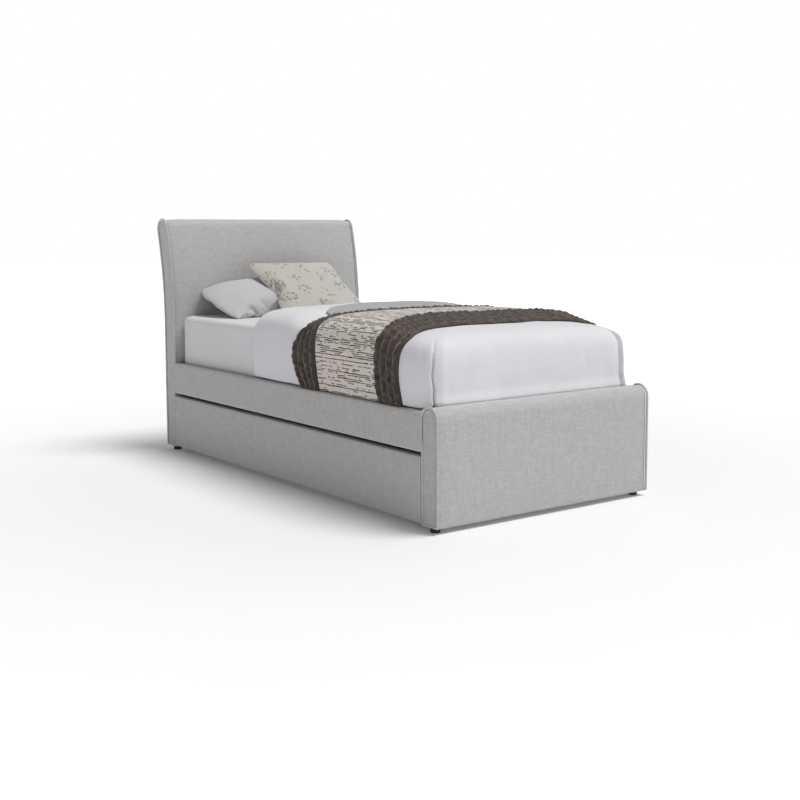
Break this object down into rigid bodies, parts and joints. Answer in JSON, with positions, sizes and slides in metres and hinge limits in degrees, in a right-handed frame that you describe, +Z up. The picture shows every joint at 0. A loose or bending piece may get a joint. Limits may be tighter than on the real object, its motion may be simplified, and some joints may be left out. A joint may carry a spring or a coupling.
{
  "type": "trundle bed",
  "caption": "Upholstered single bed with a leaning headboard, low footboard, made-up bedding and a guest bed on castors that rolls out from its left side.",
  "frame": {"origin": "on the floor, at the centre of the bounding box", "axes": "+Z up, +Y from foot to head, +X across the bed to the right as seen from the foot; the guest bed rolls out towards -X"},
  "size_m": [1.04, 2.1324, 1.078],
  "materials": {
    "upholstery_linen": "woven plain linen-look polyester",
    "upholstery_piping": "self-covered piping cord",
    "foam": "polyurethane foam",
    "pine": "planed softwood",
    "hardboard": "smooth hardboard",
    "particle_board": "particle board",
    "plywood": "birch plywood",
    "zinc_steel": "zinc-plated steel",
    "black_plastic": "moulded plastic",
    "mattress_ticking": "knitted ticking",
    "white_cotton": "percale cotton",
    "grey_cotton": "percale cotton",
    "throw_brown": "quilted velvet",
    "throw_ivory": "woven with broken brown dashes",
    "cushion_print": "printed cotton"
  },
  "bodies": {
    "bed": {"bracket_bolts": "zinc_steel", "corner_brackets": "zinc_steel", "cushion": "cushion_print", "duvet": "white_cotton", "duvet_cuff": "grey_cotton", "fitted_sheet": "white_cotton", "floor_glides": "black_plastic", "footboard_back_board": "hardboard", "footboard_cover": "upholstery_linen", "footboard_cross_rails": "pine", "footboard_foam": "foam", "footboard_front_board": "hardboard", "footboard_gussets": "upholstery_linen", "footboard_piping": "upholstery_piping", "footboard_posts": "pine", "headboard_back_board": "hardboard", "headboard_cover": "upholstery_linen", "headboard_cross_rails": "pine", "headboard_foam": "foam", "headboard_front_board": "hardboard", "headboard_gussets": "upholstery_linen", "headboard_piping": "upholstery_piping", "headboard_posts": "pine", "ledge_screws": "zinc_steel", "left_rail_board": "particle_board", "left_rail_cover": "upholstery_linen", "left_rail_foam": "foam", "main_mattress": "mattress_ticking", "pillow": "white_cotton", "right_rail_board": "particle_board", "right_rail_cover": "upholstery_linen", "right_rail_foam": "foam", "slat_caps": "black_plastic", "slat_ledges": "pine", "sprung_slats": "plywood", "throw_centre": "throw_ivory", "throw_foot_band": "throw_brown", "throw_head_band": "throw_brown"},
    "guest_bed": {"castor_axles": "zinc_steel", "castor_blocks": "plywood", "castor_brackets": "zinc_steel", "castor_screws": "zinc_steel", "guest_back_rail": "pine", "guest_end_rails": "pine", "guest_frame_screws": "zinc_steel", "guest_ledges": "pine", "guest_mattress": "mattress_ticking", "guest_middle_rail": "pine", "guest_panel_board": "particle_board", "guest_panel_cover": "upholstery_linen", "guest_panel_foam": "foam", "guest_panel_piping": "upholstery_piping", "guest_slats": "pine"},
    "wheel_foot_left": {"castor_wheel_foot_left": "black_plastic"},
    "wheel_foot_right": {"castor_wheel_foot_right": "black_plastic"},
    "wheel_head_left": {"castor_wheel_head_left": "black_plastic"},
    "wheel_head_right": {"castor_wheel_head_right": "black_plastic"}
  },
  "joints": [
    {"name": "guest_bed_roll", "type": "slide", "parent": "bed", "child": "guest_bed", "axis": [-1, 0, 0], "range_m": [0, 0.95]},
    {"name": "wheel_foot_left_spin", "type": "hinge", "parent": "guest_bed", "child": "wheel_foot_left", "pos_m": [-0.443, -0.91419, 0.025], "axis": [0, 1, 0], "continuous": true},
    {"name": "wheel_foot_right_spin", "type": "hinge", "parent": "guest_bed", "child": "wheel_foot_right", "pos_m": [0.442, -0.91419, 0.025], "axis": [0, 1, 0], "continuous": true},
    {"name": "wheel_head_left_spin", "type": "hinge", "parent": "guest_bed", "child": "wheel_head_left", "pos_m": [-0.443, 0.85781, 0.025], "axis": [0, 1, 0], "continuous": true},
    {"name": "wheel_head_right_spin", "type": "hinge", "parent": "guest_bed", "child": "wheel_head_right", "pos_m": [0.442, 0.85781, 0.025], "axis": [0, 1, 0], "continuous": true}
  ],
  "couplings": [
    {"joint": "wheel_foot_left_spin", "follows": "guest_bed_roll", "rad_per_m": -40},
    {"joint": "wheel_foot_right_spin", "follows": "guest_bed_roll", "rad_per_m": -40},
    {"joint": "wheel_head_left_spin", "follows": "guest_bed_roll", "rad_per_m": -40},
    {"joint": "wheel_head_right_spin", "follows": "guest_bed_roll", "rad_per_m": -40}
  ]
}
